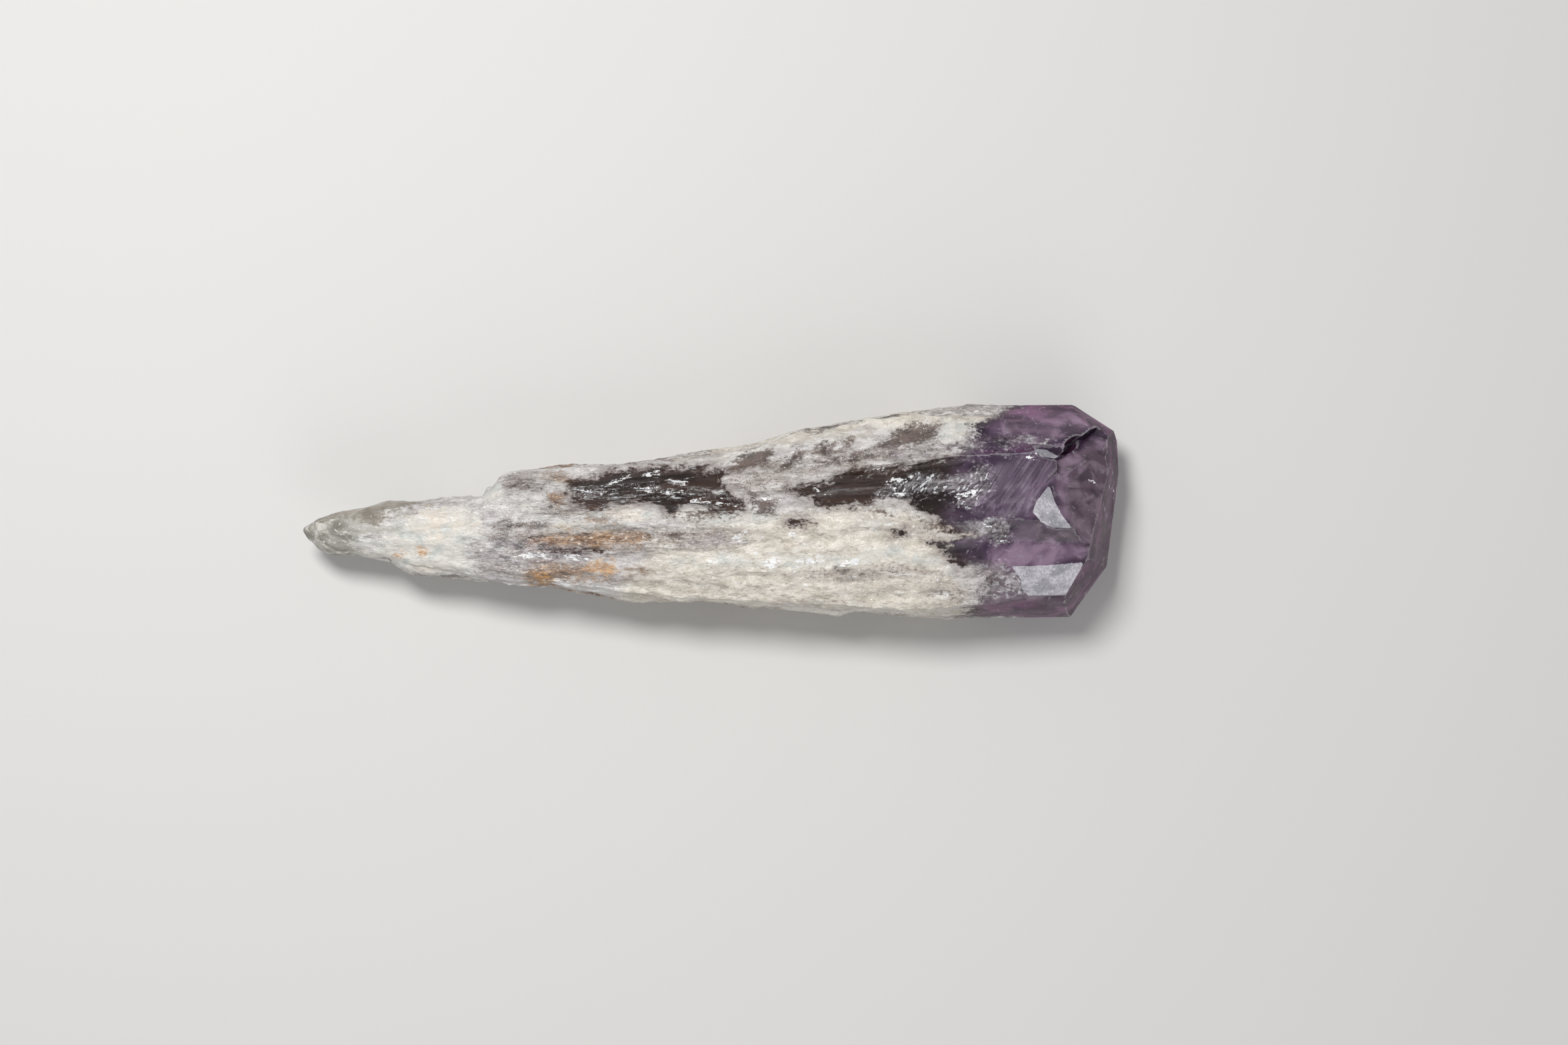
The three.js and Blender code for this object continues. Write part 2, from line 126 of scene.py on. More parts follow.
# Markings of each finish, as outlines in mm on the side that shows them. Those of the top are as the camera
# sees them, on the level of the rim.
MARKINGS = {
    "smoky": {  # dark glassy windows through the crust
        "top": [
            [(-17.6, 2.6), (-17.2, 4.1), (-15.4, 4.1), (-13.6, 4.4), (-12.2, 5.3), (-9.5, 5.6), (-5.2, 5.7),
             (-1.9, 5.5), (0.8, 5.2), (1.9, 4.7), (1.2, 4.0), (1.7, 3.2), (2.6, 2.0), (4.0, 0.8),
             (2.6, -0.1), (1.2, 0.4), (-0.4, 0.8), (-2.6, 1.3), (-3.8, 0.8), (-4.4, -0.4), (-5.6, -0.4),
             (-6.0, 0.8), (-7.4, 1.2), (-10.8, 1.0), (-12.4, 1.1), (-13.4, 0.2), (-15.2, 0.4), (-16.8, 1.3)],
            lens(9.2, -1.5, 12.2, -1.1, 0.45),
            [(9.6, 2.7), (11.6, 3.6), (14.2, 3.8), (15.6, 4.4), (17.0, 4.8), (18.6, 4.9), (21.0, 4.9),
             (23.1, 5.4), (26.8, 6.2), (29.7, 6.7), (33.5, 6.9), (34.0, 5.8), (33.0, 3.4), (32.8, 1.2),
             (32.0, -0.7), (33.3, -1.2), (32.2, -2.4), (30.4, -2.5), (28.4, -1.7), (27.2, -0.5), (25.2, 0.5),
             (24.2, 1.4), (22.0, 1.8), (20.3, 1.8), (19.4, 1.1), (17.0, 0.9), (15.8, 1.1), (14.6, 0.5),
             (13.0, 0.6), (12.6, 1.4), (11.0, 1.8)],
            lens(21.9, -2.8, 24.0, -2.6, 0.55),
            [(26.2, -3.6), (30.3, -3.7), (34.5, -3.9), (34.5, -6.5), (30.5, -6.4), (28.4, -5.0)],
            lens(-20.8, -4.4, -12.6, -4.9, 0.22),
        ],
        "front": [
            [(-14, 8.0), (-9, 9.2), (-2, 9.6), (4, 9.0), (8, 7.4), (1, 6.6), (-4, 7.2), (-10, 6.8)],
            lens(17, 5.0, 22, 5.4, 0.6), lens(-24, 6.0, -20, 5.6, 0.4),
        ],
        "back": [
            [(4, 5.4), (10, 6.8), (18, 7.4), (25, 6.4), (22, 4.6), (15, 4.0), (8, 4.4)],
            lens(-14, 6.6, -8, 7.2, 0.6), lens(-23, 6.4, -20, 6.2, 0.4),
        ],
        "under": [
            [(-16, 1.6), (-4, 2.4), (6, 1.2), (2, -0.6), (-10, -0.4)],
            [(4, -4.0), (16, -3.4), (24, -4.8), (14, -6.0)],
            [(10, 5.4), (20, 6.6), (26, 5.2), (18, 3.8)],
        ],
    },
    "murky": {  # brown quartz under a thin milky film
        "top": [
            [(1.6, 5.2), (4.0, 7.2), (6.8, 7.9), (7.8, 7.3), (7.2, 6.0), (5.6, 5.4), (3.6, 4.9)],
            [(8.4, 5.8), (10.6, 7.9), (11.6, 7.6), (11.0, 6.2), (9.6, 5.4)],
            [(12.4, 7.0), (13.6, 8.4), (15.4, 8.3), (17.2, 9.0), (17.4, 8.2), (15.6, 7.0), (14.0, 6.6)],
            [(15.8, 6.2), (17.6, 7.4), (20.0, 8.2), (20.2, 7.6), (18.2, 6.2), (17.0, 5.8)],
            lens(8.0, 5.4, 22.0, 7.2, 0.35), lens(20.0, 6.9, 32.0, 8.2, 0.3),
            lens(19.8, 0.2, 22.6, -0.5, 0.15), lens(18.4, 5.2, 25.0, 6.1, 0.3),
            [(20.2, 8.3), (22.0, 9.6), (24.4, 10.5), (27.0, 11.0), (28.3, 10.7), (28.0, 9.7), (27.0, 8.9),
             (25.8, 8.3), (24.0, 7.9), (21.0, 7.8)],
            [(5.0, 1.8), (6.8, 2.0), (8.2, 1.3), (8.0, -0.4), (5.8, -0.5)],
            [(-4.8, -0.3), (-1.0, 0.2), (3.4, -0.2), (2.0, -0.9), (-3.0, -0.8)],
            [(-8.0, -2.7), (-2.0, -2.4), (3.0, -2.5), (1.0, -3.2), (-4.0, -3.3)],
            [(25.4, -0.6), (28.0, -1.2), (31.2, -1.9), (33.4, -2.2), (33.2, -3.4), (31.4, -2.8),
             (28.6, -2.4), (26.0, -2.0)],
            lens(15.0, -7.0, 19.6, -7.5, 0.3), lens(-27.0, -1.6, -20.0, -1.7, 0.3),
            lens(-24.2, 3.5, -21.2, 3.2, 0.2),
        ],
        "front": [
            [(9, 6.2), (14, 7.4), (24, 7.0), (20, 5.2), (11, 4.8)],
            lens(-27, 7.6, -15, 6.6, 0.9), lens(-8, 4.0, 6, 4.6, 0.8),
        ],
        "back": [
            [(-19, 7.8), (-9, 9.0), (1, 8.2), (-3, 6.4), (-15, 6.2)],
            lens(8, 10.6, 26, 10.2, 0.8), lens(-2, 3.4, 10, 2.8, 0.7),
        ],
    },
    "sparkly": {  # broken glass and crust side by side, with painted glints among them
        "top": [
            [(-16.8, 2.8), (-9.8, 3.2), (-4.8, 3.6), (-3.0, 2.6), (3.0, 1.2), (-2.4, 0.9), (-7.0, 1.6),
             (-16.4, 1.8)],
            lens(31.2, 7.0, 39.6, 7.8, 0.15),
            [(-29.0, -4.6), (-23.0, -4.4), (-14.6, -4.9), (-15.0, -6.0), (-24.0, -6.4), (-28.6, -6.0)],
            [(-26.0, 4.6), (-18.0, 4.8), (-17.6, 2.6), (-25.0, 2.6)],
            [(-24.0, 1.2), (-10.0, 0.9), (-9.0, -0.6), (-23.0, -0.4)],
        ],
        "front": [
            [(-34, 9.0), (-16, 11.0), (-10, 10.2), (-28, 7.8)],
            [(6, 9.4), (26, 10.4), (32, 8.6), (14, 7.6)],
        ],
        "back": [
            [(-20, 9.6), (-6, 10.4), (2, 9.4), (-14, 8.2)],
            [(12, 7.0), (30, 8.0), (34, 6.4), (18, 5.2)],
        ],
        "under": [
            [(-18, 2.2), (6, 3.4), (14, 1.6), (-10, 0.0)],
            [(14, -1.0), (34, -0.4), (36, -3.4), (18, -4.0)],
        ],
    },
    "crinkled": {  # glass that broke like foil, its small faces painted dark and bright as reflections
        "top": [
            [(20.0, 2.0), (21.4, 3.2), (22.6, 4.1), (25.0, 4.4), (27.6, 4.6), (29.0, 4.0), (32.0, 4.0),
             (32.6, 5.7), (34.0, 5.8), (34.6, 4.0), (33.8, 1.8), (32.0, 1.0), (30.4, 1.0), (29.0, 2.2),
             (26.0, 2.2), (24.0, 1.8)],
            [(33.8, -1.4), (36.4, -1.4), (36.7, -2.6), (36.0, -3.9), (34.6, -3.4)],
        ],
    },
    "flange": {  # a thin glassy edge beside the tip
        "top": [
            [(-48.0, -1.1), (-42.6, 0.6), (-39.2, 1.8), (-34.0, 1.6), (-33.6, 0.9), (-37.3, 0.5),
             (-42.1, -0.6)],
            lens(-43.0, -1.4, -38.4, -0.4, 0.5),
        ],
    },
    "cracked": {  # broken half-clear quartz, a mosaic of small faces
        "top": [
            [(22.0, 7.4), (26.0, 7.6), (31.0, 8.9), (34.0, 8.9), (33.0, 7.8), (28.0, 7.0), (22.0, 6.2)],
            lens(34.4, 8.7, 41.6, 8.6, 0.1),
            [(31.6, -6.6), (33.0, -6.5), (37.0, -6.6), (38.0, -8.6), (38.2, -9.8), (35.0, -10.3),
             (32.0, -11.0), (33.0, -9.0)],
            [(30.0, -1.5), (33.0, -1.1), (36.4, -0.9), (36.9, -2.2), (35.6, -3.5), (32.0, -3.0)],
            [(-2.6, -3.2), (4.0, -2.8), (4.0, -4.2), (-4.0, -4.6)],
            [(-30.0, -3.4), (-22.0, -3.2), (-15.0, -4.4), (-15.0, -6.0), (-24.0, -6.6), (-29.4, -6.0)],
        ],
        "front": [
            [(28, 9), (37, 9), (38, 4), (30, 3)],
        ],
        "back": [
            [(26, 12), (34, 12), (36, 8), (24, 8)],
        ],
        "under": [
            [(26, 4), (34, 3), (33, -3), (24, -2)],
        ],
    },
    "painted_glint": {  # painted highlights: white glints where broken edges catch the light
        "top": [
            lens(-16.4, 2.6, -12.9, 2.3, 0.22), lens(-9.4, 2.9, -3.6, 2.5, 0.22),
            lens(-13.0, 3.5, -9.8, 4.8, 0.12), lens(-8.2, 4.7, -5.9, 5.1, 0.22),
            lens(-5.3, 4.2, -2.6, 3.2, 0.14), lens(-2.4, 1.7, 3.0, 1.2, 0.14),
            lens(6.0, 1.5, 7.6, 1.6, 0.15), lens(2.8, -3.2, 4.3, -3.0, 0.2),
            lens(4.6, -5.1, 6.1, -5.0, 0.16), lens(6.6, -6.4, 8.4, -6.1, 0.5),
            lens(10.2, -6.2, 13.5, -5.9, 0.34), lens(15.8, -6.4, 18.1, -6.1, 0.4),
            lens(-1.6, -5.2, -0.1, -5.0, 0.16), lens(-0.4, -6.1, 1.2, -6.0, 0.16),
            lens(9.6, -2.9, 10.6, -2.9, 0.2), lens(-23.6, -5.4, -19.0, -5.3, 0.34),
            lens(-19.0, -5.4, -15.0, -5.8, 0.22), lens(-19.2, -8.5, -16.8, -8.9, 0.36),
            lens(21.5, 3.4, 24.4, 4.0, 0.16), lens(33.4, -1.6, 34.6, -1.9, 0.16),
            lens(29.6, 2.0, 32.8, 2.6, 0.3), lens(35.4, -3.1, 36.0, -3.8, 0.16),
            lens(12.6, 2.8, 14.6, 2.5, 0.04), lens(22.2, 2.6, 24.2, 2.2, 0.2),
            lens(19.6, 5.1, 22.8, 5.7, 0.08), lens(38.8, 6.5, 39.8, 7.1, 0.1),
            lens(46.7, 3.9, 47.1, 3.8, 0.04), lens(49.1, 3.1, 49.3, 2.7, 0.06),
        ],
    },
    "cream": {  # warmer, thicker crust of the broad end
        "top": [
            [(-6.0, -3.0), (2.0, -1.6), (9.0, -0.4), (16.0, 0.4), (24.0, -0.2), (33.0, -1.6), (33.0, -3.4),
             (27.6, -5.4), (31.0, -9.8), (31.0, -14), (-12, -12), (-9.0, -6.5)],
            [(-4.0, 6.6), (2.8, 7.3), (10.9, 8.9), (19.1, 10.0), (27.2, 10.9), (34.4, 10.8), (34.9, 14),
             (8, 12), (-4.0, 8)],
        ],
        "front": [
            [(-10, -1), (-8, 12), (32, 14), (34, -1)],
        ],
        "back": [
            [(-4, -1), (0, 9), (32, 10), (36, -1)],
        ],
        "under": [
            [(-12, -9), (-8, 5), (33, 12), (32, -13)],
        ],
    },
    "rust": {  # iron-stained quartz
        "top": [
            lens(-20.4, 4.4, -16.8, 4.4, 0.3), lens(-19.8, 1.9, -18.0, 1.4, 0.5),
            [(-23.0, -3.1), (-16.0, -2.5), (-9.0, -2.6), (-7.4, -3.2), (-9.4, -4.1), (-14.0, -4.5),
             (-22.0, -4.7)],
            lens(-14.6, -7.9, -9.6, -7.7, 0.2),
            [(-23.0, -7.6), (-20.8, -5.9), (-17.8, -5.9), (-15.2, -6.8), (-14.4, -7.9), (-18.0, -8.7),
             (-20.4, -9.6), (-22.2, -8.9)],
            lens(-14.8, -1.2, -12.0, -1.3, 0.1), lens(-10.8, -6.9, -7.0, -7.2, 0.2),
        ],
        "front": [
            [(-22, 9.6), (-14, 10.2), (-9, 9.4), (-12, 8.2), (-20, 8.4)],
            [(-2, 4.4), (5, 5.0), (9, 4.0), (2, 3.2)],
        ],
        "back": [
            [(-24, 8.6), (-18, 9.4), (-16, 8.0), (-21, 7.4)],
        ],
        "under": [
            [(-22, 0.6), (-14, 1.0), (-12, -1.0), (-20, -1.6)],
        ],
    },
    "amber": {  # the strongest stains
        "top": [
            lens(-15.2, -6.9, -11.2, -6.9, 0.7), lens(-21.9, -8.1, -19.5, -8.0, 0.55),
            lens(-38.1, -5.0, -37.2, -5.1, 0.25), lens(-35.4, -4.6, -34.4, -4.8, 0.28),
            lens(-22.2, -3.5, -18.6, -3.6, 0.1),
        ],
    },
    "grey": {  # clear quartz near the surface, milky grey and fibrous
        "top": [
            [(-26.0, 4.2), (-21.0, 5.0), (-20.4, 3.0), (-25.6, 2.4)],
            [(-19.6, 2.4), (-17.4, 2.4), (-16.6, 0.6), (-13.0, 0.2), (-17.0, -0.8), (-20.6, 0.2)],
            [(-29.5, -3.2), (-24, -1.6), (-8, -1.8), (2, -1.6), (6, -2.6), (0, -4.2), (-10, -4.9),
             (-22, -4.6)],
            [(-28.0, -5.8), (-22.6, -6.2), (-22.4, -7.4), (-28.0, -7.0)],
            [(2.6, 5.4), (6.0, 5.0), (12, 4.6), (17.0, 5.2), (22, 6.2), (29, 7.2), (27, 8.0), (20, 8.0),
             (13.0, 7.4), (8.0, 6.6)],
            [(32.0, -6.6), (38.5, -6.5), (37.5, -10.4), (33.0, -9.9)],
            lens(9, -7.6, 30, -7.4, 0.9), lens(2.0, 4.8, 11.0, 4.9, 1.1),
            lens(26.0, -10.3, 34.0, -10.2, 1.0),
            [(1.6, 4.6), (5.0, 5.0), (9.4, 4.6), (10.4, 3.0), (8.4, 2.0), (5.0, 2.0), (2.4, 2.8)],
        ],
        "front": [
            [(-44, 8.0), (-30, 10.4), (-26, 9.2), (-36, 6.6)],
            [(10, 10.4), (24, 11.6), (30, 10.4), (18, 8.8)],
        ],
        "back": [
            [(-30, 8.0), (-20, 9.6), (-14, 7.4), (-28, 6.6)],
            [(-6, 10.6), (8, 11.2), (6, 9.4), (-4, 9.0)],
        ],
        "under": [
            [(-40, 0.0), (-26, 1.2), (-24, -3.6), (-38, -3.4)],
        ],
    },
    "tip": {  # the clear grey tip
        "top": [
            [(-52, -3), (-49, 0.5), (-42, 3.2), (-34.0, 3.4), (-33.4, 1.0), (-37.6, 0.4), (-39.6, -1.0),
             (-42.0, -2.6), (-46.0, -3.4), (-49.0, -4.8), (-52, -5.0)],
        ],
        "front": [
            [(-54, 0), (-54, 12), (-43, 12), (-40, 0)],
        ],
        "back": [
            [(-54, 0), (-54, 12), (-38, 12), (-34, 9.4), (-36, 0)],
        ],
        "under": [
            [(-54, -8), (-54, 4), (-38, 4), (-40, -8)],
        ],
    },
    "pale": {  # thick opaque white crust
        "top": [
            [(-37.2, -1.2), (-34.5, 0.4), (-29.5, 1.0), (-27.6, -1.0), (-27.4, -3.0), (-26.4, -4.6),
             (-28.5, -6.4), (-33.5, -7.6), (-38.0, -6.9), (-43.0, -5.7), (-46.2, -5.6), (-43.6, -4.6),
             (-40.4, -4.0), (-38.6, -2.8)],
            lens(-23.6, 0.9, -20.6, 0.6, 0.6), lens(-26.4, -5.2, -20.6, -5.3, 0.5),
            lens(-20.0, -2.1, -11.4, -1.9, 0.4), lens(-15.4, -6.9, -11.0, -6.9, 0.9),
            lens(-19.4, 4.2, -16.8, 3.6, 0.3),
            [(-5.4, -5.4), (2.0, -5.6), (9.0, -5.5), (16.6, -5.5), (22.0, -5.8), (16.6, -6.8), (8.0, -6.8),
             (-4.0, -6.3)],
            [(28.4, 10.9), (31.4, 10.7), (31.2, 9.5), (29.8, 8.9), (27.6, 8.9), (28.4, 9.6)],
            [(-27.4, 3.0), (-25.6, 3.6), (-25.4, 1.6), (-27.2, 1.2)],
            [(-16.6, -0.4), (-12.6, 1.2), (-7, 0.2), (-1.4, 0.8), (3.6, 0.0), (8.6, -0.6), (5.0, -1.8),
             (-6, -1.0)],
            lens(18.4, -1.4, 22.8, -1.5, 0.5),
            [(27.6, -2.2), (33.2, -2.6), (32.0, -3.4), (27.0, -3.2)],
            [(22.0, -4.0), (29.6, -6.0), (26.0, -6.6), (18.0, -5.0)],
        ],
        "front": [
            [(-36, 4), (-30, 9), (-24, 8), (-26, 4)],
            [(-4, 10), (10, 12), (28, 12), (8, 10.4)],
        ],
        "back": [
            [(-32, 8), (-26, 10), (-22, 8), (-28, 6)],
            [(0, 10), (14, 11.5), (30, 11), (10, 9.4)],
        ],
    },
    "striated": {  # the broad growth face behind the end, ruled with fine slanting lines
        "top": [
            [(33.6, 5.0), (35.4, 6.5), (39.6, 7.1), (42.4, 6.2), (42.2, 3.8), (41.5, 3.4), (39.9, 1.2),
             (39.4, 0.0), (38.0, -0.7), (34.4, -0.9), (31.8, -0.5), (31.8, 1.0)],
        ],
    },
    "bright": {  # painted light: a pink glow where light comes through the head
        "top": [
            [(34.2, -4.1), (40.0, -3.6), (45.4, -3.9), (46.4, -4.8), (45.6, -5.9), (41.0, -6.6),
             (34.8, -6.5), (33.8, -5.2)],
            [(33.0, 9.3), (40.6, 9.2), (44.0, 9.0), (42.0, 10.3), (36.0, 10.8)],
            [(36.6, 11.3), (44.0, 12.6), (48.0, 11.0), (45.0, 10.6)],
            [(43.5, 5.6), (48.2, 7.8), (48.8, 8.8), (46.0, 8.4), (43.6, 7.0)],
            [(38.4, 1.0), (39.4, 3.6), (40.8, 4.8), (41.2, 3.4), (39.6, 1.2)],
            [(41.7, 5.0), (42.0, 2.6), (42.8, 0.6), (43.6, -0.6), (43.4, 2.0), (43.8, 4.4), (45.4, 5.2)],
        ],
        "front": [
            [(33, 6), (44, 7), (46, 3), (34, 2)],
        ],
        "back": [
            [(34, 12), (43, 12), (44, 9.5), (33, 9.5)],
        ],
    },
    "misty": {  # greyed violet of the end faces
        "top": [
            [(42.2, 5.6), (43.0, 1.0), (44.6, -2.4), (47.0, -4.6), (51.4, -6.0), (51.4, 9.0), (46.6, 8.6)],
            [(33.0, -10.4), (37.6, -10.5), (43.6, -10.2), (46.2, -6.0), (51.0, -6.0), (45.0, -13.8),
             (32.0, -13.6)],
            [(40.2, -0.9), (42.0, -2.0), (44.4, -2.1), (45.3, -3.6), (40.0, -3.3)],
        ],
        "front": [
            [(30, 5), (47, 5), (47, -1), (30, -1)],
        ],
        "back": [
            [(40, 8), (51, 9), (51, -1), (36, -1)],
        ],
        "under": [
            [(43, 14), (52, 14), (52, -14), (42, -14)],
        ],
    },
    "frosted": {  # frosted crystal faces, silver grey with painted glitter
        "top": [
            [(41.5, 3.4), (42.2, 1.2), (43.3, -0.7), (44.2, -1.95), (41.9, -1.95), (40.4, -1.2), (39.4, 0.0),
             (39.9, 1.2)],
            [(39.7, 7.7), (41.2, 7.6), (42.9, 6.7), (41.9, 6.5), (40.4, 6.8)],
            [(37.0, -6.7), (42.0, -6.5), (45.9, -6.1), (43.5, -10.2), (38.9, -10.3), (38.1, -9.3),
             (38.0, -8.2), (37.4, -7.4)],
        ],
    },
    "shaded": {  # painted shade: dark violet over bands, hollows and dark faces of the head
        "top": [
            [(30.0, 6.5), (31.5, 8.0), (39.8, 8.3), (41.0, 7.4), (39.6, 7.0), (34.0, 6.6)],
            [(41.4, 7.2), (42.6, 7.0), (44.8, 8.2), (46.6, 8.9), (49.4, 9.4), (48.0, 10.3), (45.4, 10.2),
             (42.0, 8.7)],
            [(31.4, 11.4), (35.4, 11.4), (35.8, 9.2), (31.8, 8.8)],
            [(48.6, 9.4), (51.0, 8.9), (51.0, 5.9), (49.4, 5.4), (48.8, 7.2)],
            [(49.6, 3.6), (51.0, 3.4), (51.0, -2.6), (49.8, -3.4), (48.6, 0.0)],
            [(13.6, 1.6), (20.2, 1.9), (22.4, 4.6), (18.0, 4.6), (15.2, 3.8), (11.0, 3.0)],
            [(26.4, -0.2), (30.2, -0.5), (32.6, -1.2), (36.4, -1.2), (36.8, -2.9), (34.6, -3.7),
             (33.0, -2.4), (30.4, -1.9), (28.0, -1.1)],
            [(26.4, -3.4), (30.0, -3.7), (32.4, -4.0), (32.0, -5.6), (30.0, -6.0), (28.4, -5.0)],
            [(46.4, -5.6), (48.9, -5.8), (49.0, -7.2), (47.0, -10.2), (45.8, -11.2), (44.9, -8.6)],
            [(48.8, -2.0), (50.4, -2.0), (50.2, -5.4), (48.9, -5.8), (47.8, -4.4)],
            [(40.4, -1.2), (41.9, -2.1), (43.0, -2.2), (42.4, -3.1), (40.2, -3.1)],
            [(37.0, -11.4), (41.6, -11.0), (41.6, -12.0), (37.0, -12.4)],
            lens(28.4, 5.4, 34.4, 6.0, 0.5), lens(42.6, 6.6, 46.0, 8.6, 0.3),
        ],
        "back": [
            [(36, 6), (46, 7), (48, 3), (38, 1)],
        ],
        "front": [
            [(33, 2), (42, 3), (43, 0), (34, -1)],
        ],
        "under": [
            [(32, 6), (42, 6), (41, 0), (33, -1)],
        ],
    },
}

# How far the clear violet reaches back from the head at each Y: (y, x where it begins)
VIOLET_EDGE = [
    (-13.0, 30.5), (-10.6, 31.5), (-9.0, 32.4), (-7.4, 33.2), (-6.4, 30.6), (-4.4, 28.2), (-3.7, 26.6),
    (-3.3, 29.4), (-2.7, 31.6), (-2.0, 28.8), (-1.0, 27.0), (2.0, 27.6), (6.0, 28.6), (8.0, 29.6),
    (10.6, 31.4), (11.4, 33.4), (13.0, 35.6),
]


def milli(x, y, z=0.0):
    """A point given in millimetres, in metres."""
    return Vector((x, y, z)) * MM


def linear(hex_colour):
    """An sRGB hex colour as the linear RGBA that Blender's nodes take."""
    srgb = [int(hex_colour[i : i + 2], 16) / 255 for i in (1, 3, 5)]
    return [c / 12.92 if c <= 0.04045 else ((c + 0.055) / 1.055) ** 2.4 for c in srgb] + [1.0]


def add(tree, kind, inputs=(), **settings):
    """Adds a shader node with its settings, and sets or links its inputs."""
    made = tree.nodes.new("ShaderNode" + kind)
    for name, value in settings.items():
        setattr(made, name, value)
    for name, value in dict(inputs).items():
        socket = made.inputs[name]
        if isinstance(value, bpy.types.NodeSocket):
            tree.links.new(value, socket)
        else:
            socket.default_value = value
    return made


# The crystal's mesh


def fine_copy(node):
    """A finely and evenly meshed copy of a CAD node's solid."""
    bpy.ops.object.select_all(action="DESELECT")
    piece = node.copy()
    piece.data = node.data.copy()
    piece.name = "amethyst_wand"
    piece.parent = None
    bpy.context.scene.collection.objects.link(piece)
    for key in list(piece.keys()):
        del piece[key]
    piece.select_set(True)
    bpy.context.view_layer.objects.active = piece
    bpy.ops.object.mode_set(mode="EDIT")
    bpy.ops.mesh.select_all(action="SELECT")
    bpy.ops.mesh.remove_doubles(threshold=MERGE_WITHIN * MM)
    bpy.ops.object.mode_set(mode="OBJECT")
    remesh = piece.modifiers.new("even mesh", "REMESH")
    remesh.mode = "SHARP"
    remesh.octree_depth = REMESH_DEPTH
    remesh.scale = REMESH_SCALE
    remesh.use_remove_disconnected = True
    bpy.ops.object.modifier_apply(modifier=remesh.name)
    return piece


def wear_tip(piece):
    """Smooths the thin end of the active piece, which is sharp in the solid."""
    bpy.ops.object.mode_set(mode="EDIT")
    bpy.ops.mesh.select_mode(type="VERT")
    bpy.ops.mesh.select_all(action="DESELECT")
    bpy.ops.object.mode_set(mode="OBJECT")
    for corner in piece.data.vertices:
        corner.select = corner.co.x < WORN_FROM * MM
    bpy.ops.object.mode_set(mode="EDIT")
    bpy.ops.mesh.vertices_smooth(factor=0.5, repeat=WEAR_ROUNDS)
    bpy.ops.object.mode_set(mode="OBJECT")


def vertex_array(mesh, name):
    """Vertex places or normals as an array of rows."""
    values = np.empty(len(mesh.vertices) * 3)
    mesh.vertices.foreach_get(name, values)
    return values.reshape(-1, 3)


def growth_lines(points):
    """Places along and across the growth lines, which fan out from the tip to the head."""
    away = points - FAN_POINT
    spread = (FAN_REACH / np.maximum(away[:, :1], FAN_NEAR)) ** FAN_SPREAD
    return np.column_stack((away[:, 0], away[:, 1:] * spread))


def grain(lines, along, across, seed):
    """Noise from about -1 to 1 at each point, stretched along the growth lines."""
    shift = Vector((seed * 7.3, seed * 3.1, seed * 5.7))
    scaled = lines / (along, across, across)
    return np.array([noise.noise(Vector(p) + shift) for p in scaled])


def terrace(values, levels):
    """Values from -1 to 1 gathered into flat levels, with a slope in the last 0.3 of each."""
    t = (values * 0.5 + 0.5) * levels
    level = np.floor(t)
    rise = np.clip((t - level - 0.7) / 0.3, 0, 1)
    return (level + rise * rise * (3 - 2 * rise)) / levels * 2 - 1


def smooth(values, low, high):
    """0 below low, 1 above high, and a soft slope between."""
    t = np.clip((values - low) / (high - low), 0, 1)
    return t * t * (3 - 2 * t)


def depth_inside(flat, outline):
    """How far inside an outline each flat point lies, in mm: negative outside it."""
    nearest = np.full(len(flat), np.inf)
    inside = np.zeros(len(flat), bool)
    for start, end in zip(outline, outline[1:] + outline[:1]):
        edge = np.subtract(end, start)
        away = flat - start
        t = np.clip(away @ edge / (edge @ edge), 0, 1)
        nearest = np.minimum(nearest, np.linalg.norm(away - t[:, None] * edge, axis=1))
        spans = (away[:, 1] < 0) != (flat[:, 1] < end[1])
        inside ^= spans & (away[:, 0] * edge[1] < away[:, 1] * edge[0]) ^ (spans & (edge[1] < 0))
    return np.where(inside, nearest, -nearest)


def as_seen(points):
    """Where the camera sees each point, on the level of the rim, in mm of the photograph's frame."""
    camera = np.array(camera_place()) / MM
    reach = (camera[2] - RIM_HEIGHT) / (camera[2] - points[:, 2:])
    return (camera + (points - camera) * reach)[:, :2] + (TILT_SHIFT_PX / PX_PER_MM, 0)


def marking_field(points, normals, outlines):
    """Depth inside the markings of one finish, falling off where the skin turns away from their side."""
    field = np.full(len(points), FAR_OUTSIDE)
    for side, shapes in outlines.items():
        axes, facing = SIDES[side]
        flat = as_seen(points) if side == "top" else points[:, axes]
        turned = np.maximum(0, TURNED_AWAY - normals @ facing) * TURNED_FADE
        for shape in shapes:
            field = np.maximum(field, depth_inside(flat, shape) - turned)
    return field


def violet_field(points, normals, lines):
    """How far each point lies past the edge of the violet head, in mm. The edge wanders on the sides."""
    ys, xs = zip(*VIOLET_EDGE)
    unseen = 1 - smooth(normals[:, 2], 0.0, 0.5)
    wander = EDGE_WANDER * unseen * grain(lines, 18, 2.4, 9)
    return points[:, 0] - np.interp(points[:, 1], ys, xs) + wander


def ridge_angle(mesh, normals):
    """How sharply the faces meet at each vertex, in degrees."""
    loops = len(mesh.loops)
    corners = np.empty(loops, int)
    mesh.loops.foreach_get("vertex_index", corners)
    sides = np.empty(len(mesh.polygons), int)
    mesh.polygons.foreach_get("loop_total", sides)
    faces = np.empty(len(mesh.polygons) * 3)
    mesh.polygons.foreach_get("normal", faces)
    facing = np.repeat(faces.reshape(-1, 3), sides, axis=0)
    least = np.ones(len(mesh.vertices))
    np.minimum.at(least, corners, np.einsum("ij,ij->i", normals[corners], facing))
    return np.degrees(np.arccos(np.clip(least, -1, 1)))


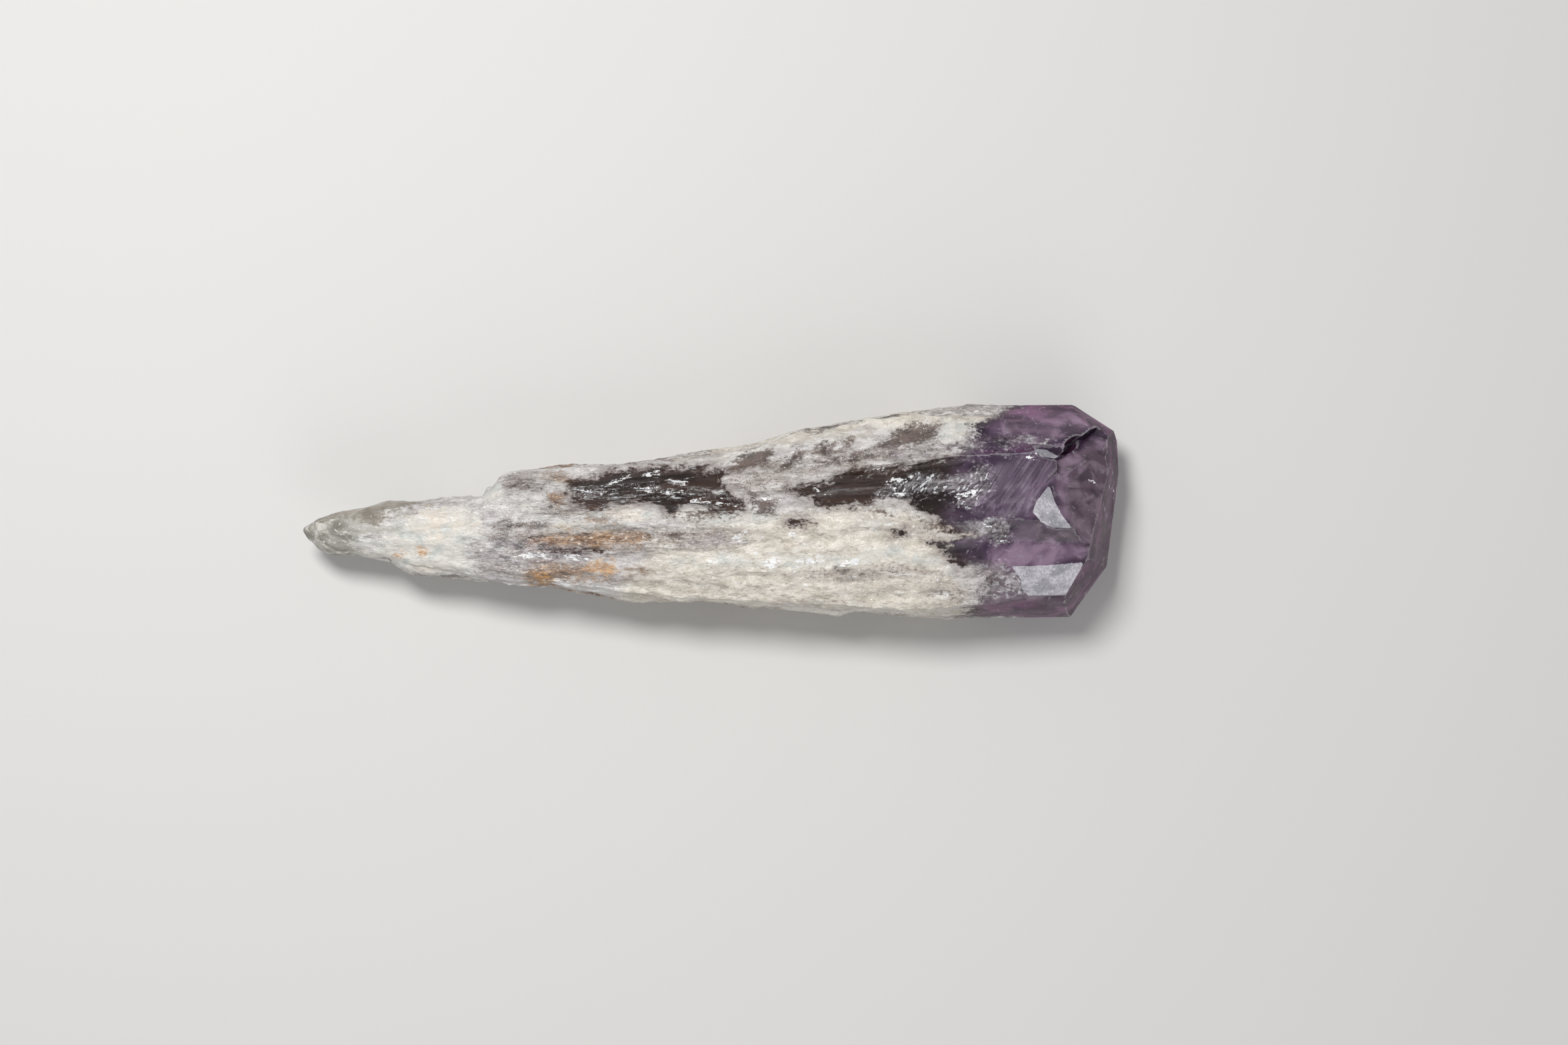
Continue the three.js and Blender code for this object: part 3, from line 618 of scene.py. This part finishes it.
def grow_skin(piece):
    """Raises the skin's splinters and crust, sinks its windows, and stores the fields for the material."""
    mesh = piece.data
    points = vertex_array(mesh, "co") / MM
    normals = vertex_array(mesh, "normal")
    lines = growth_lines(points)
    fields = {name: marking_field(points, normals, outlines) for name, outlines in MARKINGS.items()}
    fields["violet"] = violet_field(points, normals, lines)
    ragged = grain(lines, 3.2, 0.8, 1) + 0.5 * grain(lines, 1.3, 0.35, 2)
    window = smooth(fields["smoky"] + 0.45 * ragged, -0.15, 0.3)
    head = smooth(fields["violet"] + 1.6 * ragged, -0.4, 0.6)
    sunken = window * (1 - smooth(fields["violet"], -4.0, 5.0))
    crust = (1 - window) * (1 - head)
    sparkly = smooth(fields["sparkly"] + 0.8 * ragged, -0.6, 0.6)
    soft = 1 - 0.8 * smooth(fields["pale"] + 0.8 * ragged, -0.8, 0.8)
    ribs = RIB_HEIGHT * (0.6 - 2.6 * np.abs(grain(lines, 13, 1.9, 3)))
    flakes = FLAKE_HEIGHT * terrace(grain(lines, 8.5, 2.3, 4), 4)
    lumps = LUMP_HEIGHT * grain(lines, 2.2, 1.5, 7)
    grains = GRAIN_HEIGHT * grain(lines, 0.7, 0.6, 5)
    inner = WINDOW_RELIEF * grain(lines, 9, 1.8, 8)
    inner = inner + sparkly * SPARKLY_RELIEF * terrace(grain(lines, 4.0, 0.8, 6), 4)
    rest = smooth(points[:, 2], 0.05, 0.6)  # 0 on the face that it rests on
    tip = 1 - smooth(fields["tip"] + 0.8 * ragged, -1.0, 1.0)
    height = crust * (soft * (ribs + flakes) + lumps + grains) * (0.3 + 0.7 * tip)
    height = height + sunken * (inner - WINDOW_DEPTH)
    height = height + sparkly * (1 - window) * (inner - SPARKLY_DEPTH)
    height = np.where(rest < 1, np.minimum(height, 0), height) * rest
    fields["raised"] = height
    fields["ridge"] = ridge_angle(mesh, normals)
    fields["steep"] = 1 - np.abs(normals[:, 2])
    moved = (points + normals * height[:, None]) * MM
    mesh.vertices.foreach_set("co", moved.ravel())
    for name, values in fields.items():
        attribute = mesh.attributes.new(name, "FLOAT", "POINT")
        attribute.data.foreach_set("value", values.astype(np.float32))
    mesh.update()


# Materials


def total(tree, *parts):
    """The sum of shares of several values: (share, value) pairs."""
    result = 0.0
    for share, value in parts:
        result = add(tree, "Math", {0: value, 1: share, 2: result}, operation="MULTIPLY_ADD").outputs[0]
    return result


def overlap(tree, *masks):
    """Where all the masks are."""
    result = 1.0
    for mask in masks:
        result = add(tree, "Math", {0: result, 1: mask}, operation="MULTIPLY").outputs[0]
    return result


def coats(tree, base, *layers):
    """A colour under others: each (value, low, high, most, colour) shows as its value goes low to high."""
    result = linear(base) if isinstance(base, str) else base
    for value, low, high, most, colour in layers:
        mask = add(tree, "MapRange", {"Value": value, "From Min": low, "From Max": high, "To Max": most},
                   interpolation_type="SMOOTHSTEP").outputs[0]
        above = linear(colour) if isinstance(colour, str) else colour
        result = add(tree, "Mix", {0: mask, 6: result, 7: above}, data_type="RGBA").outputs[2]
    return result


def fan_coordinates(tree):
    """Object coordinates in metres, fanned out as the growth lines are."""
    at = add(tree, "TexCoord").outputs["Object"]
    away = add(tree, "VectorMath", {0: at, 1: milli(*FAN_POINT)}, operation="SUBTRACT").outputs[0]
    along = add(tree, "SeparateXYZ", {0: away}).outputs["X"]
    distance = add(tree, "Math", {0: along, 1: FAN_NEAR * MM}, operation="MAXIMUM").outputs[0]
    ratio = add(tree, "Math", {0: FAN_REACH * MM, 1: distance}, operation="DIVIDE").outputs[0]
    spread = add(tree, "Math", {0: ratio, 1: FAN_SPREAD}, operation="POWER").outputs[0]
    fan = add(tree, "CombineXYZ", {"X": 1.0, "Y": spread, "Z": spread}).outputs[0]
    return add(tree, "VectorMath", {0: away, 1: fan}, operation="MULTIPLY").outputs[0]


def pattern(tree, at, along, across, detail, rough=0.55, swirl=0.0):
    """Noise about 0, with features of the given size in mm."""
    scaled = add(tree, "VectorMath", {0: at, 1: (along * MM, across * MM, across * MM)}, operation="DIVIDE")
    cells = add(tree, "TexNoise", {"Vector": scaled.outputs[0], "Scale": 1.0, "Detail": detail,
                                   "Roughness": rough, "Distortion": swirl})
    return add(tree, "Math", {0: cells.outputs["Fac"], 1: 0.5}, operation="SUBTRACT").outputs[0]


def broken_faces(tree, at, along, across):
    """A number from 0 to 1 for each of many small cells of the given size in mm."""
    scaled = add(tree, "VectorMath", {0: at, 1: (along * MM, across * MM, across * MM)}, operation="DIVIDE")
    cells = add(tree, "TexVoronoi", {"Vector": scaled.outputs[0], "Scale": 1.0})
    return add(tree, "SeparateXYZ", {0: cells.outputs["Color"]}).outputs["X"]


def splinters(tree, at, along, across, lean):
    """Height in mm of small flat splinters, each leaning its own way."""
    scaled = add(tree, "VectorMath", {0: at, 1: (along * MM, across * MM, across * MM)}, operation="DIVIDE")
    cells = add(tree, "TexVoronoi", {"Vector": scaled.outputs[0], "Scale": 1.0})
    way = add(tree, "VectorMath", {0: cells.outputs["Color"], 1: (0.5, 0.5, 0.5)}, operation="SUBTRACT")
    centre = cells.outputs["Position"]
    away = add(tree, "VectorMath", {0: scaled.outputs[0], 1: centre}, operation="SUBTRACT")
    rise = add(tree, "VectorMath", {0: way.outputs[0], 1: away.outputs[0]}, operation="DOT_PRODUCT")
    return overlap(tree, rise.outputs["Value"], lean * across)


def place(tree, name, low, high, *breaks):
    """Mask of a finish: it fades in from low to high mm inside its outline, which the breaks make ragged."""
    depth = total(tree, (1.0, add(tree, "Attribute", attribute_name=name).outputs["Fac"]), *breaks)
    return add(tree, "MapRange", {"Value": depth, "From Min": low, "From Max": high},
               interpolation_type="SMOOTHSTEP").outputs[0]


def without(tree, mask):
    """Where the mask isn't."""
    return total(tree, (-1.0, mask), (1.0, 1.0))


def mosaic(tree, grains):
    """Small broken faces, light and dark."""
    return coats(
        tree, "#aaa1a4",
        (grains.facets, 0.50, 0.10, 0.9, "#776c71"),
        (grains.facets, 0.60, 0.95, 0.9, "#d8d4d6"),
        (grains.snow, 0.05, 0.15, 0.9, "#f4f2f3"),
    )


def foil(tree, grains):
    """Glass crinkled as foil is: small faces painted from black to mirror bright, a painted reflection of
    the light.
    """
    painted_mirror_glints = total(tree, (1.0, grains.foil), (0.8, grains.sugar))
    return coats(
        tree, "#332b2c",
        (grains.foil, 0.30, 0.90, 1.0, "#857f81"),
        (grains.flake, 0.60, 0.95, 0.6, "#a8a4a6"),
        (grains.snow, -0.02, -0.14, 0.8, "#2f2728"),
        (painted_mirror_glints, 0.78, 1.0, 0.95, "#f0f2f4"),
    )


def crust_colour(tree, grains, places):
    """Frosted quartz: cool or cream, with clearer fibrous places, dark pits, white grains and rust, painted
    shade where the skin is sunken, and painted white sparkles.
    """
    warm = coats(tree, "#d2c9ba", (grains.mottle, -0.14, 0.12, 1.0, "#ede6da"))
    stain = coats(
        tree, "#84603f",
        (grains.mottle, -0.08, 0.12, 1.0, "#b78d62"),
        (grains.strand, 0.0, -0.10, 0.85, "#62432c"),
        (grains.snow, 0.06, 0.16, 0.8, "#eddac6"),
        (grains.sugar, -0.04, -0.14, 0.6, "#5f4431"),
        (grains.sugar, 0.10, 0.20, 0.6, "#f6ead9"),
    )
    amber = coats(
        tree, "#a87338",
        (grains.mottle, -0.10, 0.10, 1.0, "#e6a95e"),
        (grains.strand, -0.02, -0.10, 0.4, "#6f4a26"),
        (grains.snow, 0.06, 0.15, 0.8, "#f3dcc4"),
    )
    tip = coats(
        tree, "#7d7b6f",
        (grains.smoke, -0.08, 0.12, 1.0, "#b5b2a8"),
        (grains.pebble, 0.02, 0.18, 0.8, "#ebe6dd"),
        (grains.snow, 0.06, 0.16, 0.6, "#f3efe9"),
    )
    chalk = coats(
        tree, "#dbd7ce",
        (grains.pebble, -0.14, 0.06, 1.0, "#e7e3db"),
        (grains.smoke, 0.02, 0.16, 0.5, "#f2e2cf"),
        (grains.haze, -0.02, -0.14, 0.7, "#c6cbc7"),
    )
    edge = coats(tree, "#867c70", (grains.haze, -0.1, 0.14, 1.0, "#b0a69a"))
    murk = coats(tree, "#43352f", (grains.haze, -0.1, 0.14, 1.0, "#6b5850"))
    return coats(
        tree, "#c8c3bf",
        (grains.mottle, -0.14, 0.12, 1.0, "#e9e6e3"),
        (places.cream, 0.0, 1.0, 1.0, warm),
        (grains.cloud, 0.02, -0.16, total(tree, (-0.18, places.cream), (0.42, 1.0)), "#a0969a"),
        (overlap(tree, places.grey, without(tree, places.pale)), 0.0, 1.0, 0.6, "#aea29a"),
        (grains.sugar, 0.0, -0.12, overlap(tree, places.grey, 0.75), "#6a5f5b"),
        (grains.fibre, -0.05, -0.14, places.fibrous, "#82766c"),
        (grains.fibre, 0.05, 0.14, places.fibrous, "#f1efec"),
        # Painted shade: grey-brown darkening where the skin is sunken
        (places.deep, 0.0, 1.0, 0.22, "#938b85"),
        (places.pale, 0.0, 1.0, 0.92, chalk),
        (places.film, 0.0, 1.0, 0.5, "#8c7d79"),
        (places.tip, 0.0, 1.0, 0.9, tip),
        (places.flange, 0.0, 1.0, 0.8, edge),
        (places.murky, 0.0, 1.0, 0.9, murk),
        (places.rust, 0.0, 1.0, 0.8, stain),
        (places.amber, 0.0, 1.0, 0.75, amber),
        (places.cracked, 0.0, 1.0, 0.6, mosaic(tree, grains)),
        (places.crinkled, 0.0, 1.0, 0.8, foil(tree, grains)),
        (grains.snow, 0.09, 0.20, places.grainy, "#fbfaf8"),
        (grains.sugar, -0.12, -0.22, overlap(tree, places.grainy, 0.5), "#7d746f"),
        (grains.strand, 0.0, 0.12, overlap(tree, places.sparkly, 0.5), "#776a66"),
        # Painted highlights: tiny white sparkles scattered over the crust
        (grains.sugar, 0.22, 0.28, 0.9, "#ffffff"),
    )


def window_colour(tree, grains, places):
    """Smoky brown glass with broken flakes in it, some painted bright as glints, and painted shade in its
    shaded places.
    """
    dark = coats(tree, "#201714", (grains.strand, -0.04, 0.12, 1.0, "#4a3a35"))
    painted_mirror_glints = total(tree, (1.0, grains.flake), (1.2, grains.snow))
    return coats(
        tree, "#33251f",
        (grains.cloud, -0.10, 0.14, 1.0, "#61493f"),
        # Painted shade: darker brown where the window lies in the shaded places
        (places.shaded, 0.0, 1.0, 0.75, dark),
        (grains.flake, 0.45, 0.95, overlap(tree, places.sparkly, 0.5), "#7a6f6c"),
        # Painted highlights: bright flakes in the sparkly places
        (painted_mirror_glints, 0.82, 1.0, overlap(tree, places.sparkly, 0.9), "#e4e7ea"),
        (places.crinkled, 0.0, 1.0, 0.95, foil(tree, grains)),
    )


def head_colour(tree, grains, places):
    """Violet glass with haze and smoke in it, ruled and frosted places, painted shade in shaded places and
    on steep faces, a painted pink glow, painted sparkles and glitter, and ridges partly worn and partly
    painted as highlights.
    """
    pink = coats(tree, "#b191ad", (grains.haze, -0.1, 0.12, 1.0, "#dcbad8"))
    misty = coats(
        tree, "#88707f",
        (grains.haze, -0.10, 0.14, 1.0, "#b7a0b0"),
        (grains.smoke, 0.0, -0.12, 0.7, "#4f3f4b"),
        (grains.smoke, 0.06, 0.18, 0.5, "#c0acba"),
    )
    silver = coats(
        tree, "#b1afb4",
        (grains.grit, -0.12, 0.12, 1.0, "#cbc9ce"),
        (grains.haze, 0.04, -0.12, 0.65, "#87858d"),
        # Painted highlights: glitter specks on the frosted faces
        (grains.sugar, 0.10, 0.20, 0.7, "#e6e4e8"),
    )
    shade = coats(tree, "#2d2032", (grains.haze, -0.1, 0.14, 1.0, "#523c58"))
    # Painted shade: dark red-violet for steep faces
    painted_wall_shade = coats(tree, "#3a1436", (grains.haze, -0.1, 0.14, 1.0, "#6b3560"))
    pale_lines = total(tree, (1.6, grains.haze), (0.4, 1.0))
    dark_lines = total(tree, (-1.6, grains.haze), (0.5, 1.0))
    return coats(
        tree, "#5e4661",
        (grains.haze, -0.12, 0.16, 1.0, "#8c708b"),
        (grains.smoke, 0.0, -0.14, 0.8, "#3c2b3f"),
        (grains.smoke, 0.08, 0.20, 0.35, "#ad95ae"),
        (places.misty, 0.0, 1.0, 0.9, misty),
        # Painted light: pink glow in the bright places
        (places.bright, 0.0, 1.0, 0.8, pink),
        (places.striated, 0.0, 1.0, 0.6, "#a189a3"),
        (grains.stria, 0.0, 0.12, overlap(tree, places.striated, pale_lines), "#cbbbce"),
        (grains.stria, -0.02, -0.12, overlap(tree, places.striated, dark_lines), "#5a495d"),
        # Painted shade: dark violet over the shaded bands and hollows
        (places.shaded, 0.0, 1.0, 0.85, shade),
        (overlap(tree, places.steep, without(tree, places.frosted)), 0.0, 1.0, 0.8, painted_wall_shade),
        (grains.sugar, 0.15, 0.24, 0.4, "#cfc3ce"),
        (places.cracked, 0.0, 1.0, 0.9, mosaic(tree, grains)),
        (places.crinkled, 0.0, 1.0, 0.8, foil(tree, grains)),
        (places.frosted, 0.0, 1.0, 0.95, silver),
        # Light lines on sharp ridges: partly real wear, partly a painted highlight
        (places.worn, 0.0, 1.0, 0.3, "#e6dfe6"),
        # Painted highlights: light sparkles in the sparkly places
        (grains.snow, 0.05, 0.16, overlap(tree, places.sparkly, 0.6), "#d2ccd3"),
    )


def natural_amethyst():
    """Natural quartz, grown and broken but never cut or polished.

    The eye sees a splintery frosted crust, glassy smoky windows through it, and a clear violet head whose
    grown faces are smooth and whose broken ones glitter.
    """
    material = bpy.data.materials.new("natural_amethyst")
    material.use_nodes = True
    tree = material.node_tree
    tree.nodes.clear()
    lines = fan_coordinates(tree)

    def turned(degrees):
        """Object coordinates, turned so that a pattern slants by so many degrees seen from above."""
        inputs = {"Vector": add(tree, "TexCoord").outputs["Object"], "Angle": -math.radians(degrees)}
        return add(tree, "VectorRotate", inputs, rotation_type="Z_AXIS").outputs[0]

    # Sizes are in mm along and across. The real sugar grains, grit and growth rulings are 0.05 to 0.2 mm,
    # too fine to show, so they are drawn as coarse as they need to be.
    grains = SimpleNamespace(
        cloud=pattern(tree, lines, 8.0, 3.4, 3),
        edge=pattern(tree, lines, 3.2, 1.4, 4, 0.6),
        mottle=pattern(tree, lines, 2.0, 1.2, 5, 0.65),
        fibre=pattern(tree, lines, 6.0, 0.40, 4, 0.6),
        strand=pattern(tree, lines, 3.6, 0.34, 4, 0.6),
        sliver=pattern(tree, lines, 1.6, 0.20, 2),
        snow=pattern(tree, lines, 1.0, 0.7, 5, 0.75),
        sugar=pattern(tree, lines, 0.42, 0.34, 2),
        pebble=pattern(tree, lines, 1.8, 1.4, 4, 0.6, 0.5),
        haze=pattern(tree, turned(30), 3.2, 2.4, 3, 0.5, 0.6),
        smoke=pattern(tree, turned(-25), 7.0, 4.0, 4, 0.55, 1.4),
        stria=pattern(tree, turned(57), 12.0, 0.36, 2, 0.5),
        grit=pattern(tree, lines, 0.3, 0.3, 1),
        facets=broken_faces(tree, lines, 0.8, 0.45),
        flake=broken_faces(tree, lines, 1.5, 0.24),
        foil=broken_faces(tree, turned(52), 0.56, 0.22),
    )
    snowy = ((3.0, grains.edge), (3.5, grains.snow), (1.2, grains.sugar))
    cloudy = ((3.0, grains.edge), (3.5, grains.snow), (2.0, grains.sugar))
    places = SimpleNamespace(
        window=place(tree, "smoky", -0.4, 0.6, *snowy),
        film=place(tree, "smoky", -1.8, 0.3, *cloudy),
        murky=place(tree, "murky", -0.7, 0.9, *cloudy),
        flange=place(tree, "flange", -0.3, 0.4, *cloudy),
        cracked=place(tree, "cracked", -1.0, 1.0, *cloudy),
        crinkled=place(tree, "crinkled", -0.7, 0.9, *cloudy),
        misty=place(tree, "misty", -0.7, 0.7, (1.6, grains.haze)),
        sparkly=place(tree, "sparkly", -0.8, 0.8, *snowy),
        head=place(tree, "violet", -1.0, 1.6, (4.0, grains.edge), (6.0, grains.snow), (3.0, grains.sugar)),
        violet=place(tree, "violet", -3.0, 4.0, (6.0, grains.cloud)),
        rust=place(tree, "rust", -1.0, 1.0, *cloudy),
        amber=place(tree, "amber", -0.7, 0.7, *cloudy),
        grey=place(tree, "grey", -1.4, 1.4, *cloudy),
        tip=place(tree, "tip", -1.0, 1.4, *cloudy),
        pale=place(tree, "pale", -1.0, 1.0, *cloudy),
        cream=place(tree, "cream", -2.0, 1.5, *cloudy),
        frosted=place(tree, "frosted", -0.06, 0.06, (0.4, grains.mottle)),
        shaded=place(tree, "shaded", -0.4, 0.5, (1.6, grains.haze)),
        bright=place(tree, "bright", -0.9, 1.1, (2.0, grains.haze)),
        striated=place(tree, "striated", -0.6, 0.8, (1.6, grains.haze)),
        # Where the skin sinks below its surroundings, for the painted shade in hollows
        deep=without(tree, place(tree, "raised", -0.45, 0.15)),
        steep=place(tree, "steep", 0.25, 0.6),
        # Sharp ridges, for lines that are partly wear and partly a painted highlight
        worn=place(tree, "ridge", 13.0, 26.0, (60.0, grains.sugar), (110.0, grains.mottle)),
        # Mask of the painted highlights, broken up along slivers
        painted_glint=place(tree, "painted_glint", 0.0, 0.22, (1.4, grains.sliver), (2.4, grains.snow), (1.2, grains.sugar)),
    )
    places.grainy = overlap(tree, without(tree, overlap(tree, places.tip, 0.7)),
                            without(tree, overlap(tree, places.pale, 0.6)))
    fibrous = total(tree, (0.5, places.grey), (0.4, places.rust), (0.06, 1.0))
    places.fibrous = overlap(tree, fibrous, places.grainy)
    glassy = add(tree, "Math", {0: places.window, 1: places.head}, operation="MAXIMUM").outputs[0]
    glass = coats(tree, window_colour(tree, grains, places),
                  (places.violet, 0.0, 1.0, 1.0, head_colour(tree, grains, places)))
    colour = coats(
        tree, crust_colour(tree, grains, places),
        (glassy, 0.0, 1.0, 1.0, glass),
        # Painted highlights: white glints on broken edges
        (places.painted_glint, 0.0, 1.0, 0.9, "#ffffff"),
    )
    window = overlap(tree, places.window, without(tree, overlap(tree, places.sparkly, 0.5)))
    broken = add(tree, "Math", {0: places.sparkly, 1: places.cracked}, operation="MAXIMUM").outputs[0]
    broken = add(tree, "Math", {0: broken, 1: places.crinkled}, operation="MAXIMUM").outputs[0]
    crystal_face = overlap(tree, places.head, without(tree, overlap(tree, broken, 0.8)))
    clear = add(tree, "Math", {0: window, 1: crystal_face}, operation="MAXIMUM").outputs[0]
    clear = overlap(
        tree, clear,
        without(tree, places.painted_glint),
        without(tree, overlap(tree, places.frosted, 0.9)),
        without(tree, overlap(tree, places.shaded, 0.55)),
        without(tree, overlap(tree, places.steep, 0.85)),
        without(tree, overlap(tree, places.crinkled, 0.8)),
    )
    transmission = overlap(tree, clear, SEE_THROUGH)
    roughness = total(
        tree,
        (-0.18, clear),
        (0.36, 1.0),
        (0.3, grains.cloud),
        (0.12, places.striated),
        (0.08, places.window),
        (0.14, places.steep),
    )
    rough_skin = overlap(
        tree,
        without(tree, overlap(tree, crystal_face, 0.94)),
        without(tree, overlap(tree, window, 0.85)),
        total(tree, (0.8, broken), (0.8, 1.0)),
        total(tree, (0.8, places.grainy), (0.2, 1.0)),
    )
    splintered = total(
        tree,
        (0.7, splinters(tree, lines, 0.8, 0.36, 1.0)),
        (0.16, grains.sugar),
        (0.6, splinters(tree, lines, 2.2, 0.9, 0.6)),
    )
    height = total(
        tree,
        (1.0, overlap(tree, splintered, rough_skin)),
        (0.012, overlap(tree, grains.stria, places.striated)),
        (0.05, overlap(tree, grains.grit, places.frosted)),
        (0.05, overlap(tree, grains.haze, places.head)),
    )
    bump = add(tree, "Bump", {"Height": height, "Distance": MM, "Strength": 1.0}).outputs[0]
    surface = add(tree, "BsdfPrincipled", {
        "Base Color": colour,
        "Roughness": roughness,
        "Transmission Weight": transmission,
        "IOR": QUARTZ_IOR,
        "Specular IOR Level": QUARTZ_SPECULAR,
        "Normal": bump,
    })
    absorption = add(tree, "VolumeAbsorption", {"Color": VIOLET_LIGHT, "Density": VIOLET_DENSITY})
    output = add(tree, "OutputMaterial", {"Surface": surface.outputs[0], "Volume": absorption.outputs[0]})
    output.is_active_output = True
    return material


def pale_table():
    """A smooth matt table top, a little off white."""
    material = bpy.data.materials.new("matt_laminate")
    material.use_nodes = True
    shader = material.node_tree.nodes["Principled BSDF"]
    shader.inputs["Base Color"].default_value = linear("#dcdad7")
    shader.inputs["Roughness"].default_value = 0.6
    return material


# The stage


def lay_floor():
    """A square table top under the crystal."""
    bpy.ops.object.select_all(action="DESELECT")
    bpy.ops.mesh.primitive_plane_add(size=TABLE_SIZE, location=(0, 0, 0))
    floor = bpy.context.object
    floor.name = "table_top"
    floor.data.materials.append(pale_table())


def aim(thing, place, target, up):
    """Puts a camera or light at a place, facing a target, with its top towards up."""
    back = (place - target).normalized()
    right = up.cross(back).normalized()
    turned = Matrix((right, back.cross(right), back)).transposed()
    thing.matrix_world = Matrix.Translation(place) @ turned.to_4x4()


def camera_target():
    """The point at the photograph's centre, on the level of the rim."""
    return milli(
        (PHOTO_PX[0] / 2 - CRYSTAL_CENTRE_PX[0] - TILT_SHIFT_PX) / PX_PER_MM,
        (CRYSTAL_CENTRE_PX[1] - PHOTO_PX[1] / 2) / PX_PER_MM,
        RIM_HEIGHT,
    )


def camera_place():
    """Where the camera stands: as far as makes the crystal as large as in the photograph."""
    distance = PHOTO_PX[0] / PX_PER_MM * LENS / SENSOR_WIDTH
    lean = Vector((-math.sin(CAMERA_TILT), 0, math.cos(CAMERA_TILT)))
    return camera_target() + lean * distance * MM


def set_camera():
    """The camera, looking down at the crystal as in the photograph."""
    data = bpy.data.cameras.new("camera")
    data.sensor_width = SENSOR_WIDTH
    data.lens = LENS
    camera = bpy.data.objects.new("camera", data)
    bpy.context.scene.collection.objects.link(camera)
    aim(camera, camera_place(), camera_target(), Vector((0, 1, 0)))
    bpy.context.scene.camera = camera


def set_lights():
    """A soft lamp high at the upper left, a weak one from the front, and a bright room."""
    for name, place, size, power in (
        ("key", (-110, 150, 420), 120, 1.5),
        ("fill", (120, -420, 300), 400, 0.5),
    ):
        data = bpy.data.lights.new(name, "AREA")
        data.shape = "DISK"
        data.size = size * MM
        data.energy = power
        light = bpy.data.objects.new(name, data)
        bpy.context.scene.collection.objects.link(light)
        aim(light, milli(*place), milli(0, 0, RIM_HEIGHT), Vector((0, 1, 0)))
    world = bpy.data.worlds.new("room")
    world.use_nodes = True
    sky = world.node_tree.nodes["Background"]
    sky.inputs["Color"].default_value = linear("#e6e8eb")
    sky.inputs["Strength"].default_value = ROOM_STRENGTH
    bpy.context.scene.world = world
    bpy.context.scene.view_settings.view_transform = "Standard"


wand = fine_copy(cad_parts[NODE])
wear_tip(wand)
grow_skin(wand)
wand.data.materials.clear()
wand.data.materials.append(natural_amethyst())
bpy.ops.object.shade_smooth_by_angle(angle=SMOOTH_BELOW)
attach(wand, "root")
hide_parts(NODE)
lay_floor()
set_camera()
set_lights()
